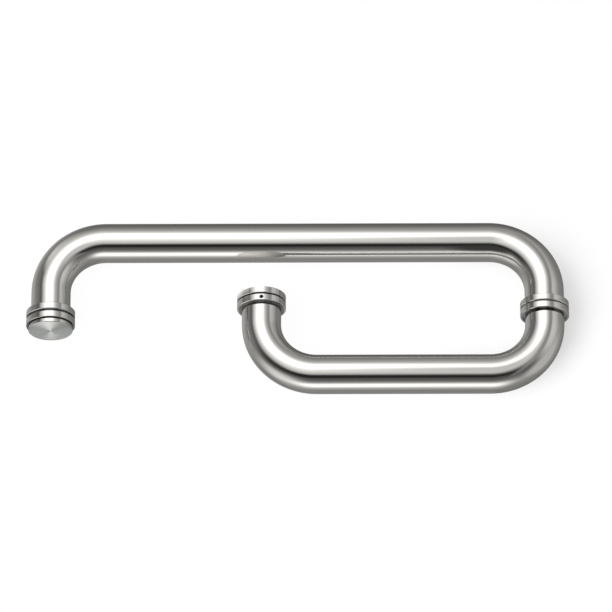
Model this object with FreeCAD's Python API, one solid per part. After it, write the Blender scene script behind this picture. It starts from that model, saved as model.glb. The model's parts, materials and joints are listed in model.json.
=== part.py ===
import FreeCAD, Part
import os

# Shower door handle: a towel bar and a pull handle, back to back on one glass door.
# Both are bent round tubes. They share the post at the origin, where a stud joins
# them through the glass. Each far post is held by a screw through a fixing of its own.
#
# Frame, in millimetres: the origin is on the axis of the shared post, in the middle
# of the glass joint. +X runs along the bars, away from their far posts. +Y runs
# through the glass, towards the towel bar. +Z is up.

# Bent tubes
tube_diameter = 25.0
tube_wall = 1.2
bend_radius = 35.0
towel_bar_pitch = 314.0
towel_bar_stand_off = 47.7
pull_handle_pitch = 180.0
pull_handle_stand_off = 44.3

# Glass joint
gasket_thickness = 0.5
gasket_inset = 0.9
bush_diameter = 12.0
bush_length = 3.2

# Trim collars on the shared post, with a recess round the tube, and how far every ring
# stands out from the tube
ring_overhang = 3.0
collar_height = 4.3
recess_width = 1.8
recess_depth = 1.2

# Fixings on the far posts: a base ring, and a cover with a groove under its flange
base_floor = 1.5
socket_diameter = 20.0
base_height = 4.5
flange_height = 4.4
groove_depth = 2.2
towel_bar_groove = 1.4
pull_handle_groove = 0.8

# Raised face on the cover of the towel bar
face_inset = 1.4
face_height = 2.6
face_groove = 0.4
face_groove_depth = 1.8

# Stud, screws and set screws, with threads drawn as plain cylinders
thread_diameter = 8.0
stud_hex = 4.0
stud_hex_depth = 4.0
screw_length = 16.0
screw_head_diameter = 14.0
screw_head_height = 4.4
screw_hex = 5.0
screw_hex_depth = 2.6
set_screw_diameter = 2.5
set_screw_recess = 1.2
set_screw_hex = 1.3
set_screw_hex_depth = 1.4

# Clearances and broken edges
fit_gap = 0.05
end_gap = 0.3
plug_setback = 0.5
edge_break = 0.35
thread_chamfer = 0.8

# Sizes that follow from the driving dimensions
tube_radius = tube_diameter / 2
bore_radius = tube_radius - tube_wall
collar_radius = tube_radius + ring_overhang
shorter_leg = min(towel_bar_stand_off, pull_handle_stand_off) - bend_radius
plug_length = shorter_leg - plug_setback
thread_radius = thread_diameter / 2
bush_radius = bush_diameter / 2
bush_hole_radius = bush_radius + fit_gap
socket_radius = socket_diameter / 2
base_top = gasket_thickness + base_height
screw_seat = gasket_thickness + base_floor
screw_head_top = screw_seat + screw_head_height

UP = FreeCAD.Vector(0, 0, 1)
ALONG_X = FreeCAD.Vector(1, 0, 0)
CENTRE = FreeCAD.Vector(0, 0, 0)


def turned(*outline):
    """Revolve a closed outline of (radius, height) corners about the Z axis."""
    corners = [FreeCAD.Vector(radius, 0, height) for radius, height in outline]
    profile = Part.Face(Part.makePolygon(corners + corners[:1]))
    return profile.revolve(CENTRE, UP, 360)


def hexagon_hole(across_flats, depth):
    """A hexagonal bar that reaches down from Z = 0."""
    bar = Part.makeCylinder(across_flats, depth)
    flat_face = Part.makeBox(across_flats, 4 * across_flats, depth)
    flat_face.translate(FreeCAD.Vector(across_flats / 2, -2 * across_flats, 0))
    for side in range(6):
        cutter = flat_face.copy()
        cutter.rotate(CENTRE, UP, 60 * side)
        bar = bar.cut(cutter)
    bar.translate(FreeCAD.Vector(0, 0, -depth))
    return bar


def placed(shape, pitch, towards):
    """Stand a turned piece on the post at -pitch, its +Z pointing along +Y or -Y."""
    shape.rotate(CENTRE, ALONG_X, -90 * towards)
    shape.translate(FreeCAD.Vector(-pitch, 0, 0))
    return shape


def bent_tube(pitch, stand_off, side):
    """A U of round tube: leg, bend, bar, bend and leg, swept along one path."""
    def point(along, away):
        return FreeCAD.Vector(along, side * away, 0)

    bar_offset = gasket_thickness + stand_off
    bend_start = bar_offset - bend_radius
    on_arc = bend_radius * (1 - 0.5 ** 0.5)
    path = Part.Wire([
        Part.LineSegment(point(-pitch, gasket_thickness), point(-pitch, bend_start)).toShape(),
        Part.Arc(
            point(-pitch, bend_start),
            point(-pitch + on_arc, bar_offset - on_arc),
            point(-pitch + bend_radius, bar_offset),
        ).toShape(),
        Part.LineSegment(point(-pitch + bend_radius, bar_offset), point(-bend_radius, bar_offset)).toShape(),
        Part.Arc(
            point(-bend_radius, bar_offset),
            point(-on_arc, bar_offset - on_arc),
            point(0, bend_start),
        ).toShape(),
        Part.LineSegment(point(0, bend_start), point(0, gasket_thickness)).toShape(),
    ])

    def swept(radius):
        along_leg = FreeCAD.Vector(0, side, 0)
        ring = Part.Wire(Part.makeCircle(radius, point(-pitch, gasket_thickness), along_leg))
        return path.makePipeShell([ring], True, False)

    return swept(tube_radius).cut(swept(bore_radius))


def end_plug():
    """Threaded insert that closes a tube end, flush with it, with a seat for the bush."""
    mouth = -gasket_thickness
    inner_end = mouth - plug_length
    bush_seat = -bush_length - end_gap
    outside = bore_radius - fit_gap
    thread = thread_radius + fit_gap
    return turned(
        (bush_hole_radius, mouth),
        (outside, mouth),
        (outside, inner_end + edge_break),
        (outside - edge_break, inner_end),
        (thread, inner_end),
        (thread, bush_seat),
        (bush_hole_radius, bush_seat),
    )


def flat_ring(inside, outside, bottom, top):
    """A plain washer shape, for gaskets and bushes."""
    return turned((inside, bottom), (outside, bottom), (outside, top), (inside, top))


def trim_collar():
    """Turned ferrule over a tube end, level with it on the glass side, recessed on the other."""
    bottom = gasket_thickness
    top = bottom + collar_height
    inside = tube_radius + fit_gap
    rim = tube_radius + recess_width
    return turned(
        (inside, bottom),
        (collar_radius - edge_break, bottom),
        (collar_radius, bottom + edge_break),
        (collar_radius, top - edge_break),
        (collar_radius - edge_break, top),
        (rim, top),
        (rim, top - recess_depth),
        (inside, top - recess_depth),
    )


def shared_stud():
    """Threaded stud from one end plug to the other, with a hexagon socket in one end."""
    reach = gasket_thickness + plug_length
    stud = turned(
        (0, -reach),
        (thread_radius - thread_chamfer, -reach),
        (thread_radius, thread_chamfer - reach),
        (thread_radius, reach - thread_chamfer),
        (thread_radius - thread_chamfer, reach),
        (0, reach),
    )
    socket = hexagon_hole(stud_hex, stud_hex_depth)
    socket.translate(FreeCAD.Vector(0, 0, reach))
    return stud.cut(socket)


def base_ring():
    """Turned cup that the fixing screw clamps to the glass, tapped for a set screw."""
    bottom = gasket_thickness
    screw_hole = thread_radius + fit_gap
    ring = turned(
        (screw_hole, bottom),
        (collar_radius - edge_break, bottom),
        (collar_radius, bottom + edge_break),
        (collar_radius, base_top - edge_break),
        (collar_radius - edge_break, base_top),
        (socket_radius, base_top),
        (socket_radius, screw_seat),
        (screw_hole, screw_seat),
    )
    tapped_hole = Part.makeCylinder(
        set_screw_diameter / 2 + fit_gap,
        collar_radius - socket_radius / 2,
        FreeCAD.Vector(0, -socket_radius / 2, bottom + base_height / 2),
        FreeCAD.Vector(0, -1, 0),
    )
    return ring.cut(tapped_hole.cut(Part.makeCylinder(socket_radius - fit_gap, base_top)))


def cover_outline(groove):
    """Corners that both covers share, from the hollow spigot out to the flange."""
    flange_bottom = base_top + groove
    flange_top = flange_bottom + flange_height
    spigot = socket_radius - fit_gap
    spigot_end = screw_seat + fit_gap
    hollow = screw_head_diameter / 2 + end_gap
    hollow_end = screw_head_top + end_gap
    neck = collar_radius - groove_depth
    return [
        (0, hollow_end),
        (hollow, hollow_end),
        (hollow, spigot_end),
        (spigot, spigot_end),
        (spigot, base_top),
        (neck, base_top),
        (neck, flange_bottom),
        (collar_radius - edge_break, flange_bottom),
        (collar_radius, flange_bottom + edge_break),
        (collar_radius, flange_top - edge_break),
        (collar_radius - edge_break, flange_top),
    ]


def flat_cover(groove):
    """Turned cover with a flat end, pushed into the base ring."""
    outline = cover_outline(groove)
    flange_top = outline[-1][1]
    return turned(*outline, (0, flange_top))


def stepped_cover(groove):
    """The same cover with a smaller raised face, parted from its flange by a groove."""
    outline = cover_outline(groove)
    flange_top = outline[-1][1]
    face_radius = collar_radius - face_inset
    face_neck = face_radius - face_groove_depth
    face_bottom = flange_top + face_groove
    face_top = face_bottom + face_height
    return turned(
        *outline,
        (face_neck, flange_top),
        (face_neck, face_bottom),
        (face_radius, face_bottom),
        (face_radius, face_top - edge_break),
        (face_radius - edge_break, face_top),
        (0, face_top),
    )


def fixing_screw():
    """Button head screw from the base ring, through the glass, into the end plug."""
    tip = screw_seat - screw_length
    head_radius = screw_head_diameter / 2
    head_rim = screw_seat + screw_head_height / 4
    crown_radius = screw_hex
    screw = turned(
        (0, tip),
        (thread_radius - thread_chamfer, tip),
        (thread_radius, tip + thread_chamfer),
        (thread_radius, screw_seat),
        (head_radius, screw_seat),
        (head_radius, head_rim),
        (crown_radius, screw_head_top),
        (0, screw_head_top),
    )
    socket = hexagon_hole(screw_hex, screw_hex_depth)
    socket.translate(FreeCAD.Vector(0, 0, screw_head_top))
    return screw.cut(socket)


def set_screw():
    """Headless screw, sunk in the base ring, that bears on the spigot of the cover."""
    radius = set_screw_diameter / 2
    length = collar_radius - set_screw_recess - socket_radius
    screw = turned(
        (0, 0),
        (radius / 2, 0),
        (radius, radius / 2),
        (radius, length),
        (0, length),
    )
    socket = hexagon_hole(set_screw_hex, set_screw_hex_depth)
    socket.translate(FreeCAD.Vector(0, 0, length))
    screw = screw.cut(socket)
    screw.rotate(CENTRE, ALONG_X, 90)
    screw.translate(FreeCAD.Vector(0, -socket_radius, gasket_thickness + base_height / 2))
    return screw


pieces = {}


def add_handle(name, pitch, stand_off, side):
    """A bent tube with its two plugs, and the collar on its end of the shared post."""
    pieces[name] = bent_tube(pitch, stand_off, side)
    pieces[name + "_far_plug"] = placed(end_plug(), pitch, -side)
    pieces[name + "_shared_plug"] = placed(end_plug(), 0, -side)
    pieces[name + "_collar"] = placed(trim_collar(), 0, side)
    gasket_edge = collar_radius - gasket_inset
    gasket = flat_ring(bush_hole_radius, gasket_edge, 0, gasket_thickness)
    pieces[name + "_shared_gasket"] = placed(gasket, 0, side)


def add_far_fixing(name, pitch, side, cover):
    """The stack on a far post, on the other face of the glass from its tube."""
    tube_edge = tube_radius - gasket_inset
    ring_edge = tube_radius + recess_width
    bush_top = gasket_thickness - fit_gap
    bush_bore = thread_radius + fit_gap
    stack = {
        "tube_gasket": flat_ring(bush_hole_radius, tube_edge, -gasket_thickness, 0),
        "base_gasket": flat_ring(bush_hole_radius, ring_edge, 0, gasket_thickness),
        "far_bush": flat_ring(bush_bore, bush_radius, bush_top - bush_length, bush_top),
        "base_ring": base_ring(),
        "fixing_screw": fixing_screw(),
        "set_screw": set_screw(),
        "cover": cover,
    }
    for piece, shape in stack.items():
        pieces[name + "_" + piece] = placed(shape, pitch, -side)


add_handle("towel_bar", towel_bar_pitch, towel_bar_stand_off, 1)
add_handle("pull_handle", pull_handle_pitch, pull_handle_stand_off, -1)
add_far_fixing("towel_bar", towel_bar_pitch, 1, stepped_cover(towel_bar_groove))
add_far_fixing("pull_handle", pull_handle_pitch, -1, flat_cover(pull_handle_groove))
pieces["shared_stud"] = placed(shared_stud(), 0, 1)
shared_bush = flat_ring(thread_radius + fit_gap, bush_radius, -bush_length / 2, bush_length / 2)
pieces["shared_bush"] = placed(shared_bush, 0, 1)

os.makedirs("parts", exist_ok=True)
for name, shape in pieces.items():
    shape.exportStep(f"parts/{name}.step")
    print(name, "valid" if shape.isValid() else "BROKEN", len(shape.Solids), round(shape.Volume, 1))
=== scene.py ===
# %% [markdown]
# # A shower door handle in satin steel
#
# The handle is two bent tubes, back to back: a long towel bar and a short pull. They meet at
# a shared post, and each has a far post of its own that ends in a stack of turned rings.
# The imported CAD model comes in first, as a frame that is never moved. Everything below
# either dresses one of its pieces or replaces it with a finer one in the same place.

# %% Load the frame
import bpy
import json
from math import atan2, cos, pi, radians, sin
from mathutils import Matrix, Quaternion, Vector


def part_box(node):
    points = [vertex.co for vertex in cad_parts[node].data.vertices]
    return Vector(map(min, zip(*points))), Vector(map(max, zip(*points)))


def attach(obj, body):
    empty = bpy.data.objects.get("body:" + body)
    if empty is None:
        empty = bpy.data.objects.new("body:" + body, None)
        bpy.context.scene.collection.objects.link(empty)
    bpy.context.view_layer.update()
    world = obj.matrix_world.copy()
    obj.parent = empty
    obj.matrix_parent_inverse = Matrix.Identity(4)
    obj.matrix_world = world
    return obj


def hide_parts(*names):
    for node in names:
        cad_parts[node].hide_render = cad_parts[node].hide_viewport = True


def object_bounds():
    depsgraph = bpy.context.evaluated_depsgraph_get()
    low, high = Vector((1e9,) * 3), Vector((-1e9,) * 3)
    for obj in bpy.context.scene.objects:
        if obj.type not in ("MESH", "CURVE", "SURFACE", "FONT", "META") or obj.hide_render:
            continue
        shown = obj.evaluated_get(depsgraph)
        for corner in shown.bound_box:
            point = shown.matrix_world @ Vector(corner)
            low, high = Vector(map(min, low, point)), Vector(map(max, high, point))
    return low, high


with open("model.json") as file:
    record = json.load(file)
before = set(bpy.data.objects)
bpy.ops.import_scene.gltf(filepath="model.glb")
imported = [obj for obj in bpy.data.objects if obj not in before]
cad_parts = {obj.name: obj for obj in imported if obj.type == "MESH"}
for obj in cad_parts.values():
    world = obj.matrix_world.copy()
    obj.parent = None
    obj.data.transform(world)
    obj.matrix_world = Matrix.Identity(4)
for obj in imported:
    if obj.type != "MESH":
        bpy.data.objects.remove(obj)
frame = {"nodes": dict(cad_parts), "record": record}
cad_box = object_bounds()
print("nodes in the frame:", len(frame["nodes"]))

# %% [markdown]
# ## Sizes
#
# Blender works in metres here. Most sizes can be read off the boxes of the CAD nodes, so
# they follow the frame. The bend radius, the wall of the tube, the grooves in the covers and
# the recess in the collars can't be seen in a box, so those are written down.

# %% Sizes of the tubes and posts
bend_radius = 0.035
tube_wall = 0.0012
towel_groove = 0.0014
pull_groove = 0.0008
face_height = 0.0026
face_groove = 0.0004
recess_width = 0.0018


def post_place(cover):
    """X of a far post, from the middle of the cover that closes it."""
    low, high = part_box(cover)
    return (low.x + high.x) / 2


towel_low, towel_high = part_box("towel_bar")
pull_low, pull_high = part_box("pull_handle")
tube_radius = pull_high.x
tube_start = -pull_high.y
towel_offset = towel_high.y - tube_radius
pull_offset = -pull_low.y - tube_radius
towel_post = post_place("towel_bar_cover")
pull_post = post_place("pull_handle_cover")
shared_post = 0.0
print("tube radius", round(tube_radius, 5))
print("bars stand off", round(towel_offset, 5), round(pull_offset, 5))
print("far posts at", round(towel_post, 4), round(pull_post, 4))

# %% [markdown]
# ## The bent tubes
#
# On the real handle each tube is one length of pipe, bent twice in a tube bender. A curve
# with a round bevel would do, and so would a path of extrusions. The extrusions follow the
# bender's own steps, so they are used: a ring of points is pulled out into a leg, spun
# round the bend, pulled along the bar, spun again and pulled into the second leg.
# Many points round the ring keep the long reflections straight.

# %% Pull a ring of points along the route of a tube
ring_points = 96
bend_steps = 24
merge_distance = 1e-6


def pull_out(x, y):
    """Extrude the selected ring in a straight line."""
    bpy.ops.mesh.extrude_region_move(TRANSFORM_OT_translate={"value": (x, y, 0)})


def spin_round(x, y, angle):
    """Extrude the selected ring round a bend whose centre is at (x, y)."""
    bpy.ops.mesh.spin(steps=bend_steps, angle=angle, center=(x, y, 0), axis=(0, 0, 1))


def tube_skin(name, far_post, bend_start, side):
    """The outer skin of a tube that stands on one face of the glass, towards side * Y."""
    bpy.ops.object.select_all(action="DESELECT")
    bpy.ops.mesh.primitive_circle_add(
        vertices=ring_points,
        radius=tube_radius,
        location=(far_post, side * tube_start, 0),
        rotation=(radians(90), 0, 0),
    )
    tube = bpy.context.object
    tube.name = name
    bpy.ops.object.transform_apply(location=True, rotation=True, scale=True)
    bpy.ops.object.mode_set(mode="EDIT")
    bpy.ops.mesh.select_all(action="SELECT")
    leg = side * (bend_start - tube_start)
    pull_out(0, leg)
    spin_round(far_post + bend_radius, side * bend_start, side * pi / 2)
    pull_out(shared_post - far_post - 2 * bend_radius, 0)
    spin_round(shared_post - bend_radius, side * bend_start, side * pi / 2)
    pull_out(0, -leg)
    bpy.ops.mesh.select_all(action="SELECT")
    bpy.ops.mesh.remove_doubles(threshold=merge_distance)
    bpy.ops.mesh.normals_make_consistent(inside=False)
    bpy.ops.object.mode_set(mode="OBJECT")
    return tube


# %% [markdown]
# The skin becomes a real pipe with a Solidify modifier that grows the wall inwards, so the
# outside keeps its size.
#
# A polish runs along a tube, round its bends too, so a pattern on plain coordinates would
# cut across it. Each point therefore stores where it would lie if the tube were pulled
# straight: its distance along the tube, and its two distances from the middle line.

# %% Where a point would lie on a straight tube
def straightened(point, far_post, bend_start, side):
    """Where a point of a tube would lie if the tube were pulled straight along X."""
    away = side * point.y
    leg = bend_start - tube_start
    quarter = bend_radius * pi / 2
    far_bend = far_post + bend_radius
    near_bend = shared_post - bend_radius
    second_bend = leg + quarter + near_bend - far_bend
    if away < bend_start and point.x < far_bend:
        return away - tube_start, far_post - point.x, point.z
    if away < bend_start:
        return second_bend + quarter + bend_start - away, point.x - shared_post, point.z
    if point.x < far_bend:
        arm = Vector((far_bend - point.x, away - bend_start))
        return leg + bend_radius * atan2(arm.y, arm.x), arm.length - bend_radius, point.z
    if point.x > near_bend:
        arm = Vector((point.x - near_bend, away - bend_start))
        turned = bend_radius * atan2(arm.x, arm.y)
        return second_bend + turned, arm.length - bend_radius, point.z
    return leg + quarter + point.x - far_bend, away - bend_start - bend_radius, point.z


# %% Give the skins their wall and store the straightened places
sharp_angle = radians(40)


def bent_tube(name, node, far_post, bar_offset, side):
    """A finished tube that stands for its CAD node."""
    bend_start = bar_offset - bend_radius
    tube = tube_skin(name, far_post, bend_start, side)
    wall = tube.modifiers.new("wall", "SOLIDIFY")
    wall.thickness = tube_wall
    wall.offset = -1
    wall.use_even_offset = True
    bpy.ops.object.modifier_apply(modifier="wall")
    bpy.ops.object.shade_smooth_by_angle(angle=sharp_angle)
    places = tube.data.attributes.new("straightened", "FLOAT_VECTOR", "POINT")
    for vertex in tube.data.vertices:
        places.data[vertex.index].vector = straightened(vertex.co, far_post, bend_start, side)
    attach(tube, "root")
    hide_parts(node)
    print(name, "faces", len(tube.data.polygons), "size", [round(v, 4) for v in tube.dimensions])
    return tube


towel_tube = bent_tube("towel_bar_tube", "towel_bar", towel_post, towel_offset, 1)
pull_tube = bent_tube("pull_handle_tube", "pull_handle", pull_post, pull_offset, -1)

# %% [markdown]
# ## Finishes
#
# Steel is mostly mirror, so its colour is the colour of the studio. What makes it satin is
# the fine damage that the tools left: long polish streaks on the tubes, rings of tool marks
# on the turned pieces. Both are built once as node groups that put out a height and a
# shade, and every steel takes them with its own values.

# %% Helpers for node groups
def new_group(name, inputs, outputs):
    """An empty shader node group with float and vector sockets."""
    group = bpy.data.node_groups.new(name, "ShaderNodeTree")
    for label, kind in inputs:
        group.interface.new_socket(label, in_out="INPUT", socket_type=kind)
    for label in outputs:
        group.interface.new_socket(label, in_out="OUTPUT", socket_type="NodeSocketFloat")
    entry = group.nodes.new("NodeGroupInput")
    exit_node = group.nodes.new("NodeGroupOutput")
    return group, entry, exit_node


def noise(tree, scale, detail):
    """A noise texture with its two main values set."""
    node = tree.nodes.new("ShaderNodeTexNoise")
    node.inputs["Scale"].default_value = scale
    node.inputs["Detail"].default_value = detail
    return node


def vector_math(tree, operation, value=None):
    """A vector math node, with a constant second vector if one is given."""
    node = tree.nodes.new("ShaderNodeVectorMath")
    node.operation = operation
    if value is not None:
        node.inputs[1].default_value = value
    return node


def math_node(tree, operation, value=None):
    """A math node, with a constant second number if one is given."""
    node = tree.nodes.new("ShaderNodeMath")
    node.operation = operation
    if value is not None:
        node.inputs[1].default_value = value
    return node


def map_range(tree, low, high, to_low, to_high):
    """A map range node that takes low..high to to_low..to_high."""
    node = tree.nodes.new("ShaderNodeMapRange")
    node.inputs["From Min"].default_value = low
    node.inputs["From Max"].default_value = high
    node.inputs["To Min"].default_value = to_low
    node.inputs["To Max"].default_value = to_high
    return node


# %% Polish streaks
streaks, entry, leave = new_group(
    "polish_streaks",
    [("Place", "NodeSocketVector"), ("Stretch", "NodeSocketVector")],
    ["Height", "Shade"],
)
stretched = vector_math(streaks, "MULTIPLY")
fine = noise(streaks, 1.0, 4.0)
broad = noise(streaks, 0.08, 2.0)
streaks.links.new(entry.outputs["Place"], stretched.inputs[0])
streaks.links.new(entry.outputs["Stretch"], stretched.inputs[1])
streaks.links.new(stretched.outputs["Vector"], fine.inputs["Vector"])
streaks.links.new(stretched.outputs["Vector"], broad.inputs["Vector"])
streaks.links.new(fine.outputs["Fac"], leave.inputs["Height"])
streaks.links.new(broad.outputs["Fac"], leave.inputs["Shade"])
print("group", streaks.name, "with", len(streaks.nodes), "nodes")

# %% [markdown]
# Tool marks run round the axis of a turned piece. On its side they follow the height, and
# on its end they follow the radius, so the group adds the two: the sum changes across the
# marks on both, and stays the same along them.

# %% Tool marks of a lathe
marks, entry, leave = new_group(
    "lathe_marks",
    [("Place", "NodeSocketVector"), ("Marks per metre", "NodeSocketFloat")],
    ["Height", "Shade"],
)
across = vector_math(marks, "MULTIPLY", (1.0, 0.0, 1.0))
radius = vector_math(marks, "LENGTH")
split = marks.nodes.new("ShaderNodeSeparateXYZ")
travel = math_node(marks, "ADD")
count = math_node(marks, "MULTIPLY")
line = marks.nodes.new("ShaderNodeCombineXYZ")
fine = noise(marks, 1.0, 3.0)
broad = noise(marks, 0.12, 1.0)
marks.links.new(entry.outputs["Place"], across.inputs[0])
marks.links.new(entry.outputs["Place"], split.inputs["Vector"])
marks.links.new(across.outputs["Vector"], radius.inputs[0])
marks.links.new(radius.outputs["Value"], travel.inputs[0])
marks.links.new(split.outputs["Y"], travel.inputs[1])
marks.links.new(travel.outputs["Value"], count.inputs[0])
marks.links.new(entry.outputs["Marks per metre"], count.inputs[1])
marks.links.new(count.outputs["Value"], line.inputs["X"])
marks.links.new(line.outputs["Vector"], fine.inputs["Vector"])
marks.links.new(line.outputs["Vector"], broad.inputs["Vector"])
marks.links.new(fine.outputs["Fac"], leave.inputs["Height"])
marks.links.new(broad.outputs["Fac"], leave.inputs["Shade"])
print("group", marks.name, "with", len(marks.nodes), "nodes")

# %% [markdown]
# ### Steel of the tubes
#
# One function sets up the shader that all the finishes share. The pattern drives three
# things: a slight change of shade, a change of roughness, and a bump far too fine to see as
# relief, which only softens the reflections. On the tubes the streaks are much longer than
# they are wide, and they follow the straightened places.

# %% A shader that takes its pattern from a group
relief_depth = 0.00002
noise_low = 0.3
noise_high = 0.7


def new_material(name):
    """A material with an empty tree apart from its shader and its output."""
    material = bpy.data.materials.new(name)
    material.use_nodes = True
    tree = material.node_tree
    return material, tree, tree.nodes["Principled BSDF"]


def place_group(tree, group):
    """A node that holds a group."""
    node = tree.nodes.new("ShaderNodeGroup")
    node.node_tree = group
    return node


def dress(tree, shader, pattern, dark, light, smooth, rough, relief, metallic=1.0):
    """Drive the colour, roughness and normal of a finish from a pattern's two outputs."""
    shader.inputs["Metallic"].default_value = metallic
    tint = tree.nodes.new("ShaderNodeMix")
    tint.data_type = "RGBA"
    tint.inputs["A"].default_value = (*dark, 1.0)
    tint.inputs["B"].default_value = (*light, 1.0)
    gloss = map_range(tree, noise_low, noise_high, smooth, rough)
    bump = tree.nodes.new("ShaderNodeBump")
    bump.inputs["Strength"].default_value = relief
    bump.inputs["Distance"].default_value = relief_depth
    tree.links.new(pattern.outputs["Shade"], tint.inputs["Factor"])
    tree.links.new(tint.outputs["Result"], shader.inputs["Base Color"])
    tree.links.new(pattern.outputs["Shade"], gloss.inputs["Value"])
    tree.links.new(gloss.outputs["Result"], shader.inputs["Roughness"])
    tree.links.new(pattern.outputs["Height"], bump.inputs["Height"])
    tree.links.new(bump.outputs["Normal"], shader.inputs["Normal"])
    return tint.outputs["Result"], gloss.outputs["Result"]


# %% Satin steel
steel_dark = (0.60, 0.59, 0.565)
steel_light = (0.68, 0.67, 0.645)


def satin_tube_steel():
    """Polished tube: long soft streaks that follow the tube round its bends."""
    material, tree, shader = new_material("satin_tube_steel")
    places = tree.nodes.new("ShaderNodeAttribute")
    places.attribute_name = "straightened"
    pattern = place_group(tree, streaks)
    pattern.inputs["Stretch"].default_value = (40.0, 900.0, 900.0)
    tree.links.new(places.outputs["Vector"], pattern.inputs["Place"])
    finish = {"smooth": 0.07, "rough": 0.12, "relief": 0.04}
    dress(tree, shader, pattern, steel_dark, steel_light, **finish)
    return material


# %% [markdown]
# ### Turned steel
#
# The rings and covers come off a lathe. Their marks spread the light across them and hardly
# along them, which the shader's anisotropy does once it has a tangent that runs round the
# post. Down in a groove, or in the recess of a collar, steel sees little but its own walls.
# The mirror image alone leaves such places too bright, so masks paint shade into the colour
# there: bands of height for the grooves, a radius for the recess. Another mask makes the faced
# end of a cover duller than its side.

# %% Masks for grooves, recesses and faces
mask_margin = 0.00005
mask_end = 0.00015


def within(tree, value, reach):
    """A mask that is 1 up to a distance and fades out within a tenth of a millimetre."""
    mask = map_range(tree, reach + mask_margin, reach + mask_end, 1.0, 0.0)
    tree.links.new(value, mask.inputs["Value"])
    return mask.outputs["Result"]


def band(tree, height, low, high):
    """A mask that is 1 between two heights."""
    middle = math_node(tree, "SUBTRACT", (low + high) / 2)
    distance = math_node(tree, "ABSOLUTE")
    tree.links.new(height, middle.inputs[0])
    tree.links.new(middle.outputs["Value"], distance.inputs[0])
    return within(tree, distance.outputs["Value"], (high - low) / 2)


def inside_rim(tree, place, rim):
    """A mask that is 1 within a radius of the post's axis, where a collar is recessed."""
    across = vector_math(tree, "MULTIPLY", (1.0, 0.0, 1.0))
    radius = vector_math(tree, "LENGTH")
    tree.links.new(place, across.inputs[0])
    tree.links.new(across.outputs["Vector"], radius.inputs[0])
    return within(tree, radius.outputs["Value"], rim)


# %% Turned steel with painted shade in its grooves and recess
recess_painted_shade = 0.45
face_dullness = 0.385


def paint_shade(tree, shader, tint, mask, shade):
    """Paint shade into a steel's colour: swap it for a darker grey where a mask says so."""
    mix = tree.nodes.new("ShaderNodeMix")
    mix.data_type = "RGBA"
    mix.inputs["B"].default_value = (shade, shade, shade, 1.0)
    tree.links.new(mask, mix.inputs["Factor"])
    tree.links.new(tint, mix.inputs["A"])
    tree.links.new(mix.outputs["Result"], shader.inputs["Base Color"])
    return mix.outputs["Result"]


def turned_steel(name, post, grooves=(), face=None, rim=None):
    """Turned steel on the post at X = post, with its highlights drawn across the marks and
    painted shade in any grooves and recess it is given.
    """
    material, tree, shader = new_material(name)
    places = tree.nodes.new("ShaderNodeTexCoord")
    centred = tree.nodes.new("ShaderNodeMapping")
    centred.inputs["Location"].default_value = (-post, 0.0, 0.0)
    pattern = place_group(tree, marks)
    pattern.inputs["Marks per metre"].default_value = 9000.0
    around = tree.nodes.new("ShaderNodeTangent")
    around.direction_type = "RADIAL"
    around.axis = "Y"
    shader.inputs["Anisotropic"].default_value = 0.95
    shader.inputs["Anisotropic Rotation"].default_value = 0.25
    split = tree.nodes.new("ShaderNodeSeparateXYZ")
    tree.links.new(places.outputs["Object"], centred.inputs["Vector"])
    tree.links.new(places.outputs["Object"], split.inputs["Vector"])
    tree.links.new(centred.outputs["Vector"], pattern.inputs["Place"])
    tree.links.new(around.outputs["Tangent"], shader.inputs["Tangent"])
    finish = {"smooth": 0.09, "rough": 0.13, "relief": 0.05}
    tint, gloss = dress(tree, shader, pattern, steel_dark, steel_light, **finish)
    height = split.outputs["Y"]
    # Painted shade: each groove's colour is swapped for a darker grey that stands in for the
    # shade down in it.
    for low, high, shade in grooves:
        tint = paint_shade(tree, shader, tint, band(tree, height, low, high), shade)
    # Painted shade in the recess round the tube.
    if rim is not None:
        recess = inside_rim(tree, centred.outputs["Vector"], rim)
        paint_shade(tree, shader, tint, recess, recess_painted_shade)
    if face is not None:
        dull = math_node(tree, "MULTIPLY_ADD", face_dullness)
        tree.links.new(band(tree, height, face, face), dull.inputs[0])
        tree.links.new(gloss, dull.inputs[2])
        tree.links.new(dull.outputs["Value"], shader.inputs["Roughness"])
    return material


# %% [markdown]
# ### Machined steel, blackened steel, rubber and nylon
#
# The plugs, the stud and the fixing screws are hidden in the posts, and the bushes in the
# joints. The set screws sit at the bottom of their holes. A mottled colour and an uneven
# roughness are enough for all of them, so one function makes them, with the streaks as long
# as they are wide.
#
# The gaskets are the thin black lines between the rings. Their rubber has a smooth skin, and
# where it faces a light it shows grey. A coat over the mottled black gives it that sheen.

# %% Mottled finishes and a coated rubber
def mottled(name, dark, light, smooth, rough, grain, relief=0.15, metallic=0.0):
    """A finish whose colour and roughness vary over a fine grain."""
    material, tree, shader = new_material(name)
    places = tree.nodes.new("ShaderNodeTexCoord")
    pattern = place_group(tree, streaks)
    pattern.inputs["Stretch"].default_value = (grain, grain, grain)
    tree.links.new(places.outputs["Object"], pattern.inputs["Place"])
    dress(tree, shader, pattern, dark, light, smooth, rough, relief, metallic)
    return material


def machined_steel():
    """Plain machined steel for the fixings that the rings hide."""
    dark = (0.40, 0.40, 0.40)
    light = (0.55, 0.55, 0.54)
    finish = {"smooth": 0.3, "rough": 0.45, "relief": 0.1, "metallic": 1.0}
    return mottled("machined_steel", dark, light, grain=700.0, **finish)


def blackened_steel():
    """Dull black steel for the set screws."""
    dark = (0.015, 0.015, 0.015)
    light = (0.035, 0.035, 0.035)
    finish = {"smooth": 0.4, "rough": 0.6, "metallic": 0.6}
    return mottled("blackened_steel", dark, light, grain=2500.0, **finish)


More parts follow.
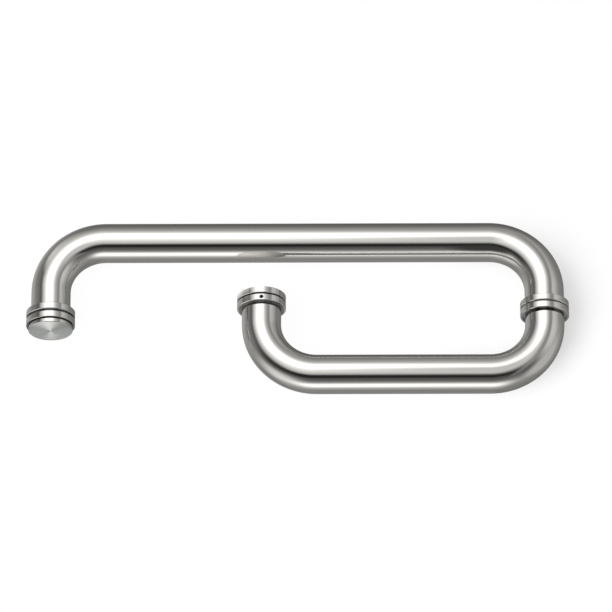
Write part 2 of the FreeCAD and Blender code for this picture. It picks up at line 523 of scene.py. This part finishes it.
def black_rubber():
    """Black rubber with a smooth skin."""
    dark = (0.03, 0.03, 0.03)
    light = (0.05, 0.05, 0.05)
    finish = {"smooth": 0.3, "rough": 0.45}
    material = mottled("black_rubber", dark, light, grain=3000.0, **finish)
    shader = material.node_tree.nodes["Principled BSDF"]
    shader.inputs["Coat Weight"].default_value = 1.0
    shader.inputs["Coat Roughness"].default_value = 0.2
    shader.inputs["Coat IOR"].default_value = 1.9
    return material


def nylon():
    """Natural nylon for the bushes."""
    dark = (0.72, 0.72, 0.68)
    light = (0.8, 0.8, 0.76)
    finish = {"smooth": 0.4, "rough": 0.55}
    return mottled("nylon", dark, light, grain=1200.0, **finish)


# %% [markdown]
# ### Dressing the nodes
#
# The record says which slot each node belongs to. The turned pieces need a material for
# each post, because the marks run round that post's own axis, and because the grooves lie at
# other heights. A narrow groove gets a darker painted shade than a wide one.

# %% Where the grooves and faces lie
towel_base_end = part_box("towel_bar_base_ring")[0].y
pull_base_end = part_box("pull_handle_base_ring")[1].y
towel_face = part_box("towel_bar_cover")[0].y
pull_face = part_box("pull_handle_cover")[1].y
face_start = towel_face + face_height
# Painted shade for the grooves: darker greys that stand in for the shade down in them, darkest
# in the narrowest.
towel_groove_painted_shade = 0.42
pull_groove_painted_shade = 0.26
face_groove_painted_shade = 0.16
posts = {"towel_bar": towel_post, "pull_handle": pull_post}
faces = {"towel_bar": towel_face, "pull_handle": pull_face}
grooves = {
    "towel_bar": [
        (towel_base_end - towel_groove, towel_base_end, towel_groove_painted_shade),
        (face_start, face_start + face_groove, face_groove_painted_shade),
    ],
    "pull_handle": [
        (pull_base_end, pull_base_end + pull_groove, pull_groove_painted_shade),
    ],
}
print("faces at", round(towel_face, 4), round(pull_face, 4))

# %% Make the finishes and put them on
def assign(obj, material):
    """Show one material on every face of an object."""
    obj.material_slots[0].material = material


tube_steel = satin_tube_steel()
for tube in (towel_tube, pull_tube):
    tube.data.materials.append(tube_steel)

plain = {
    "plain_steel": machined_steel(),
    "black_steel": blackened_steel(),
    "black_gasket": black_rubber(),
    "nylon_bush": nylon(),
}
slots = {part["node"]: part["material_slot"] for part in frame["record"]["subparts"]}
for node, slot in slots.items():
    if slot in plain:
        assign(frame["nodes"][node], plain[slot])

shared_rim = tube_radius + recess_width
shared_ring_steel = turned_steel("shared_ring_steel", shared_post, rim=shared_rim)
for handle, post in posts.items():
    ring_steel = turned_steel(handle + "_ring_steel", post, grooves[handle])
    cover_steel = turned_steel(handle + "_cover_steel", post, grooves[handle], faces[handle])
    assign(frame["nodes"][handle + "_base_ring"], ring_steel)
    assign(frame["nodes"][handle + "_cover"], cover_steel)
    assign(frame["nodes"][handle + "_collar"], shared_ring_steel)
    assign(frame["nodes"][handle], tube_steel)
print("dressed nodes:", len(slots))

# %% [markdown]
# ## The studio
#
# The floor is plain, pale and matt. In the picture it is white all over, with one faint
# shadow to the right of the shared joint. Lamps strong enough for that white would wash the
# shadow out as well, so the floor's material mixes in a plain white instead: nearly all of
# it far from that joint, and about half beside it, where the shadow is to stay. Only the
# rays that show the floor get this white. The rays that light things meet the matt paint.

# %% The floor
floor_size = 12.0
floor_drop = 0.0005
lowest = cad_box[0].z
shadow_middle = Vector((0.012, 0.006, 0.0))
shadow_core = 0.02
shadow_reach = 0.085
wash_in_shadow = 0.56
wash_elsewhere = 0.97


def seen_directly(tree):
    """A value of 1 on camera, mirror and glass rays, and 0 on the rays that light things."""
    paths = tree.nodes.new("ShaderNodeLightPath")
    shown = math_node(tree, "ADD")
    either = math_node(tree, "ADD")
    tree.links.new(paths.outputs["Is Camera Ray"], shown.inputs[0])
    tree.links.new(paths.outputs["Is Glossy Ray"], shown.inputs[1])
    tree.links.new(shown.outputs["Value"], either.inputs[0])
    tree.links.new(paths.outputs["Is Transmission Ray"], either.inputs[1])
    return either.outputs["Value"]


def floor_paint():
    """Matt paint, shown mostly as plain white, but less so round the shadow."""
    material, tree, shader = new_material("floor_paint")
    shader.inputs["Base Color"].default_value = (0.97, 0.97, 0.97, 1.0)
    shader.inputs["Roughness"].default_value = 1.0
    shader.inputs["Specular IOR Level"].default_value = 0.0
    white = tree.nodes.new("ShaderNodeEmission")
    blend = tree.nodes.new("ShaderNodeMixShader")
    places = tree.nodes.new("ShaderNodeTexCoord")
    centred = tree.nodes.new("ShaderNodeMapping")
    centred.inputs["Location"].default_value = -shadow_middle
    reach = vector_math(tree, "LENGTH")
    wash = map_range(tree, shadow_core, shadow_reach, wash_in_shadow, wash_elsewhere)
    share = math_node(tree, "MULTIPLY")
    tree.links.new(places.outputs["Object"], centred.inputs["Vector"])
    tree.links.new(centred.outputs["Vector"], reach.inputs[0])
    tree.links.new(reach.outputs["Value"], wash.inputs["Value"])
    tree.links.new(wash.outputs["Result"], share.inputs[0])
    tree.links.new(seen_directly(tree), share.inputs[1])
    tree.links.new(share.outputs["Value"], blend.inputs["Fac"])
    tree.links.new(shader.outputs["BSDF"], blend.inputs[1])
    tree.links.new(white.outputs["Emission"], blend.inputs[2])
    tree.links.new(blend.outputs["Shader"], tree.nodes["Material Output"].inputs["Surface"])
    return material


bpy.ops.object.select_all(action="DESELECT")
bpy.ops.mesh.primitive_plane_add(size=floor_size, location=(0, 0, lowest - floor_drop))
floor = bpy.context.object
floor.name = "floor"
floor.data.materials.append(floor_paint())
floor.visible_glossy = False
print("floor at", round(floor.location.z, 4))

# %% [markdown]
# ### Lamps and world
#
# A broad, weak lamp hangs overhead. A stronger one stands in front and to the left, and it
# throws the shadow to the right. The world fills the rest. The lamps light matt things only:
# the steel doesn't mirror them, because what it mirrors is set up next.

# %% Lamps and world
aim = Vector((-0.1517, 0.0034, 0.0))
world_light = 0.35
world_shown = 1.0


def seen_from(across, up, distance):
    """A place round the handle: across turns from +Z to +X, up lifts from there to +Y."""
    across, up = radians(across), radians(up)
    way = Vector((cos(up) * sin(across), sin(up), cos(up) * cos(across)))
    return aim + way * distance


def turned_to(way, front="Z"):
    """The turn that points the front of a thing one way."""
    return way.to_track_quat(front, "Y")


def lamp(name, spot, width, watts):
    """A soft square lamp that lights matt things but isn't mirrored itself."""
    light = bpy.data.lights.new(name, "AREA")
    light.shape = "SQUARE"
    light.size = width
    light.energy = watts
    holder = bpy.data.objects.new(name, light)
    bpy.context.scene.collection.objects.link(holder)
    holder.location = spot
    holder.rotation_mode = "QUATERNION"
    holder.rotation_quaternion = turned_to(aim - spot, "-Z")
    holder.visible_camera = False
    holder.visible_glossy = False
    print(name, "at", [round(v, 2) for v in spot], "with", watts, "watts")


overhead_spot = seen_from(across=-15, up=8, distance=1.3)
left_spot = seen_from(across=-32, up=-25, distance=1.4)
lamp("overhead_lamp", overhead_spot, width=1.4, watts=3.0)
lamp("left_lamp", left_spot, width=1.1, watts=24.0)

world = bpy.data.worlds.new("studio")
bpy.context.scene.world = world
world.use_nodes = True
tree = world.node_tree
background = tree.nodes["Background"]
level = map_range(tree, 0.0, 1.0, world_light, world_shown)
background.inputs["Color"].default_value = (1.0, 1.0, 1.0, 1.0)
tree.links.new(seen_directly(tree), level.inputs["Value"])
tree.links.new(level.outputs["Result"], background.inputs["Strength"])

# %% [markdown]
# ### What the steel mirrors
#
# Polished steel looks like steel only if it has light and dark things to mirror. A product
# photographer stands white panels and black flags round the work. A dome does the same job
# and has no corners for the bends to show: it is painted in soft rings round one white
# patch, which hangs a little behind and to the left of straight up. Next to the patch comes
# a dark ring, which gives the bars their black line, then a light one low down in front,
# which gives them their second highlight. The bars see the front and the back of the dome,
# the posts see its left and its right, and a bend passes from one to the other. So each of
# eight sides has its own brightness at each angle from the patch, and the paint blends
# neighbours by direction.
#
# Only mirror rays can see the dome, so it neither lights the floor nor shows in the picture.
# The floor is left out of the mirror image, because the handle in the picture mirrors a
# darker room than the white that it is shown on.

# %% Brightness of the dome, as (degrees from the patch, level)
dome_strength = 2.0
dome_radius = 2.5
warm_white = (1.0, 0.997, 0.99, 1.0)
cool_white = (0.93, 0.985, 1.0, 1.0)
dome_sides = {
    "front": [
        (17, 1.9), (26, 1.3), (48, 0.62), (54, 0.04), (66, 0.01), (72, 0.1), (88, 0.18),
        (98, 0.47), (112, 1.9), (121, 1.75), (134, 0.68), (150, 0.36), (165, 0.26),
    ],
    "front left": [
        (17, 1.9), (26, 1.25), (42, 0.6), (50, 0.1), (60, 0.03), (70, 0.14), (78, 0.32),
        (86, 0.75), (94, 0.95), (106, 1.05), (116, 1.0), (128, 0.6), (150, 0.36),
    ],
    "left": [
        (15, 1.8), (30, 0.95), (37, 0.6), (44, 0.16), (51, 0.15), (60, 0.24), (76, 0.3),
        (90, 0.34), (110, 0.4), (130, 0.28),
    ],
    "back left": [
        (13, 1.85), (25, 1.0), (34, 0.6), (44, 0.2), (52, 0.18), (62, 0.22), (76, 0.28),
        (92, 0.48), (110, 0.54), (130, 0.36),
    ],
    "back": [
        (10, 1.9), (17, 1.2), (24, 0.84), (36, 0.5), (60, 0.25), (85, 0.14), (120, 0.16),
        (150, 0.25),
    ],
    "back right": [
        (13, 1.9), (22, 1.0), (33, 0.52), (40, 0.5), (52, 0.55), (62, 0.5), (74, 0.36),
        (90, 0.28), (120, 0.26), (150, 0.25),
    ],
    "right": [
        (15, 1.9), (21, 1.35), (27, 0.88), (33, 0.6), (42, 0.5), (50, 0.75), (60, 0.85),
        (74, 0.8), (90, 0.5), (112, 0.5), (130, 0.4), (150, 0.26),
    ],
    "front right": [
        (17, 1.9), (26, 1.3), (44, 0.66), (52, 0.3), (60, 0.03), (68, 0.05), (76, 0.12),
        (84, 0.16), (94, 0.24), (104, 0.32), (120, 0.42), (134, 0.34), (150, 0.3),
    ],
}
patch = (seen_from(across=-9.5, up=22, distance=1.0) - aim).normalized()
left = patch.cross(Vector((0, 1, 0))).normalized()
front = patch.cross(left).normalized()
dome_ways = {
    "front": front,
    "front left": front + left,
    "left": left,
    "back left": left - front,
    "back": -front,
    "back right": -front - left,
    "right": -left,
    "front right": front - left,
}
print("white patch towards", [round(v, 2) for v in patch])

# %% [markdown]
# The paint finds two things for each direction: its angle from the patch, and which way round
# the patch it lies. The angle goes through one colour ramp for each side. The way round is
# compared with each side's own way by a dot product, and a high power of that makes the
# side's weight, so that one side leaks little into the next.

# %% Blend the sides by direction
side_sharpness = 10.0


def ramp(tree, stops):
    """A colour ramp over half a turn, from (degrees, brightness) stops."""
    node = tree.nodes.new("ShaderNodeValToRGB")
    elements = node.color_ramp.elements
    while len(elements) < len(stops):
        elements.new(0.5)
    for element, (degrees, level) in zip(elements, stops):
        grey = level / dome_strength
        element.position = degrees / 180
        element.color = (grey, grey, grey, 1.0)
    return node


def dot(tree, direction, way):
    """How far a direction points one way, from -1 to 1."""
    node = vector_math(tree, "DOT_PRODUCT", way)
    tree.links.new(direction, node.inputs[0])
    return node.outputs["Value"]


def combine(tree, operation, first, second):
    """The result of a math node on two linked values."""
    node = math_node(tree, operation)
    tree.links.new(first, node.inputs[0])
    tree.links.new(second, node.inputs[1])
    return node.outputs["Value"]


def total(tree, values):
    """The sum of several linked values."""
    result = values[0]
    for value in values[1:]:
        result = combine(tree, "ADD", result, value)
    return result


def blended_sides(tree, half_turns, around):
    """The weighted mean of the sides' ramps at one direction."""
    shares = []
    weights = []
    for side, way in dome_ways.items():
        level = ramp(tree, dome_sides[side])
        towards = math_node(tree, "MAXIMUM", 0.0)
        weight = math_node(tree, "POWER", side_sharpness)
        tree.links.new(half_turns, level.inputs["Fac"])
        tree.links.new(dot(tree, around, way.normalized()), towards.inputs[0])
        tree.links.new(towards.outputs["Value"], weight.inputs[0])
        share = combine(tree, "MULTIPLY", level.outputs["Color"], weight.outputs["Value"])
        shares.append(share)
        weights.append(weight.outputs["Value"])
    return combine(tree, "DIVIDE", total(tree, shares), total(tree, weights))


# %% Paint the dome
def only_mirrored(obj):
    """Hide a thing of the studio from all but mirror rays."""
    obj.visible_camera = False
    obj.visible_diffuse = False
    obj.visible_shadow = False


def dome_paint():
    """A glowing paint whose brightness depends on the direction from the handle."""
    material, tree, shader = new_material("dome_paint")
    tree.nodes.remove(shader)
    places = tree.nodes.new("ShaderNodeTexCoord")
    direction = vector_math(tree, "NORMALIZE")
    angle = math_node(tree, "ARCCOSINE")
    half_turns = math_node(tree, "DIVIDE", pi)
    along = vector_math(tree, "PROJECT", patch)
    across = vector_math(tree, "SUBTRACT")
    around = vector_math(tree, "NORMALIZE")
    strength = math_node(tree, "MULTIPLY", dome_strength)
    light = tree.nodes.new("ShaderNodeEmission")
    light.inputs["Color"].default_value = warm_white
    tree.links.new(places.outputs["Object"], direction.inputs[0])
    tree.links.new(dot(tree, direction.outputs["Vector"], patch), angle.inputs[0])
    tree.links.new(angle.outputs["Value"], half_turns.inputs[0])
    tree.links.new(direction.outputs["Vector"], along.inputs[0])
    tree.links.new(direction.outputs["Vector"], across.inputs[0])
    tree.links.new(along.outputs["Vector"], across.inputs[1])
    tree.links.new(across.outputs["Vector"], around.inputs[0])
    paint = blended_sides(tree, half_turns.outputs["Value"], around.outputs["Vector"])
    tree.links.new(paint, strength.inputs[0])
    tree.links.new(strength.outputs["Value"], light.inputs["Strength"])
    tree.links.new(light.outputs["Emission"], tree.nodes["Material Output"].inputs["Surface"])
    print("dome paint with", len(tree.nodes), "nodes")
    return material


bpy.ops.object.select_all(action="DESELECT")
bpy.ops.mesh.primitive_uv_sphere_add(
    segments=48, ring_count=24, radius=dome_radius, location=aim
)
dome = bpy.context.object
dome.name = "dome"
dome.data.materials.append(dome_paint())
only_mirrored(dome)

# %% [markdown]
# ### Cards close to the handle
#
# The dome lies far off, so every piece mirrors the same dome. What differs from piece to
# piece comes from cards that stand near one of them. A card is a plane that glows on its
# front, is clear from behind, and fades out towards its edges, so that no hard edge shows in
# the steel.

# %% A card
def card_paint(name, glow, fade, colour):
    """A paint that glows in front, is clear behind and fades out over a share of the card."""
    material, tree, shader = new_material(name)
    tree.nodes.remove(shader)
    places = tree.nodes.new("ShaderNodeTexCoord")
    centred = tree.nodes.new("ShaderNodeMapping")
    centred.inputs["Location"].default_value = (-1.0, -1.0, 0.0)
    centred.inputs["Scale"].default_value = (2.0, 2.0, 1.0)
    gradient = tree.nodes.new("ShaderNodeTexGradient")
    gradient.gradient_type = "SPHERICAL"
    clear = tree.nodes.new("ShaderNodeBsdfTransparent")
    light = tree.nodes.new("ShaderNodeEmission")
    light.inputs["Color"].default_value = colour
    light.inputs["Strength"].default_value = glow
    sides = tree.nodes.new("ShaderNodeNewGeometry")
    body = math_node(tree, "DIVIDE", fade)
    body.use_clamp = True
    in_front = math_node(tree, "SUBTRACT")
    in_front.use_clamp = True
    blend = tree.nodes.new("ShaderNodeMixShader")
    tree.links.new(places.outputs["UV"], centred.inputs["Vector"])
    tree.links.new(centred.outputs["Vector"], gradient.inputs["Vector"])
    tree.links.new(gradient.outputs["Fac"], body.inputs[0])
    tree.links.new(body.outputs["Value"], in_front.inputs[0])
    tree.links.new(sides.outputs["Backfacing"], in_front.inputs[1])
    tree.links.new(in_front.outputs["Value"], blend.inputs["Fac"])
    tree.links.new(clear.outputs["BSDF"], blend.inputs[1])
    tree.links.new(light.outputs["Emission"], blend.inputs[2])
    tree.links.new(blend.outputs["Shader"], tree.nodes["Material Output"].inputs["Surface"])
    return material


def put_card(name, spot, turn, width, height, glow, fade=0.5, colour=warm_white):
    """A card that only mirror rays can see; fade is the share of it that fades out."""
    bpy.ops.object.select_all(action="DESELECT")
    bpy.ops.mesh.primitive_plane_add(size=1.0, location=spot)
    card = bpy.context.object
    card.name = name
    card.scale = (width, height, 1.0)
    card.rotation_mode = "QUATERNION"
    card.rotation_quaternion = turn
    card.data.materials.append(card_paint(name + "_paint", glow, fade, colour))
    only_mirrored(card)
    print(name, "at", [round(v, 3) for v in spot])


# %% [markdown]
# Three cards are flags, which are dimmer than the dome behind them. The right flag is tall
# and draws a dark line down the right hand side of each post. The one overhead takes the
# glare off the right ends of the bars. A small dark one over the gap between the bars keeps
# the inner side of the towel bar's right bend from going white.

# %% Flags
right_spot = Vector((0.59, 1.0, 0.87))
right_turn = Quaternion((0, 1, 0), radians(214))
put_card("right_flag", right_spot, right_turn, width=0.42, height=5.0, glow=0.37)

over_spot = Vector((0.08, -0.03, 1.0))
over_turn = Quaternion((1, 0, 0), pi)
put_card("over_flag", over_spot, over_turn, width=0.5, height=0.82, glow=0.8)

inner_spot = Vector((-0.037, -0.0027, 0.036))
inner_turn = turned_to(Vector((0.0, 1.0, 0.0)))
put_card("inner_flag", inner_spot, inner_turn, width=0.056, height=0.054, glow=0.06)

# %% [markdown]
# Two reflectors lighten the outer sides of bends: one behind the towel bar's left bend, and
# one to the right of the pull's right bend.

# %% Reflectors for the bends
bend_spot = Vector((-0.396, 0.156, 0.066))
bend_turn = turned_to(Vector((-0.25, -0.87, -0.42)))
put_card("bend_reflector", bend_spot, bend_turn, width=0.2, height=0.155, glow=1.0, fade=1.0)

side_spot = Vector((0.09, -0.075, 0.01))
side_target = Vector((-0.01, -0.035, 0.0))
side_turn = turned_to(side_target - side_spot)
put_card("side_reflector", side_spot, side_turn, width=0.18, height=0.12, glow=0.64)

# %% [markdown]
# A bright reflector in front of the raised face lights it from one side, and the turned marks
# draw that light out into the bow tie that a faced disc shows. Another stands in the gap
# behind the pull's cover, because the towel bar mirrors that cover.
#
# The raised face and the lower side of the pull's base ring are flat, and each mirrors the
# floor just in front of it. The floor itself is left out of the mirror image, so two pale
# sheets lie on it there.

# %% Reflectors and sheets for the covers and rings
face_middle = Vector((towel_post, towel_face, 0.0))
face_offset = Vector((-0.009, -0.055, -0.023))
face_target = Vector((-0.05, 0.0, 0.03))
face_spot = face_middle + face_offset
face_turn = turned_to(face_target - face_offset)
put_card(
    "face_reflector", face_spot, face_turn,
    width=0.05, height=0.08, glow=4.6, fade=1.0, colour=cool_white,
)

gap_spot = Vector((pull_post - 0.012, pull_face + 0.008, 0.003))
gap_turn = turned_to(Vector((0.0, -1.0, 0.0)))
put_card("gap_reflector", gap_spot, gap_turn, width=0.052, height=0.052, glow=2.7, fade=1.0)

pull_ring_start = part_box("pull_handle_base_ring")[0].y
flat = Quaternion()
face_sheet_spot = Vector((towel_post, towel_face - 0.012, lowest))
ring_sheet_spot = Vector((pull_post, pull_ring_start - 0.008, lowest))
put_card(
    "face_sheet", face_sheet_spot, flat,
    width=0.07, height=0.036, glow=0.66, colour=cool_white,
)
put_card("ring_sheet", ring_sheet_spot, flat, width=0.048, height=0.03, glow=0.5)

# %% [markdown]
# ## The camera
#
# The rings show as ellipses about 0.44 as high as they are wide, which puts the camera 26
# degrees off square to the handle's plane, so 64 degrees above the floor. The bars hardly
# shrink with distance, so the lens is long.

# %% Camera
camera_rise = radians(64)
camera_distance = 4.0
camera_roll = radians(0.15)
back = Vector((0.0, -cos(camera_rise), sin(camera_rise)))
camera = bpy.data.objects.new("camera", bpy.data.cameras.new("camera"))
bpy.context.scene.collection.objects.link(camera)
camera.location = aim + back * camera_distance
camera.rotation_mode = "QUATERNION"
upright = turned_to(-back, "-Z")
camera.rotation_quaternion = upright @ Quaternion((0, 0, 1), -camera_roll)
camera.data.sensor_width = 36.0
camera.data.lens = 369.9
bpy.context.scene.camera = camera
bpy.context.scene.view_settings.view_transform = "Standard"
print("camera at", [round(v, 3) for v in camera.location])

# %% [markdown]
# ## Closing
#
# The box of the CAD model is printed at the end.

# %% Print the box of the CAD model
print("cad box", [round(v, 4) for corner in cad_box for v in corner])
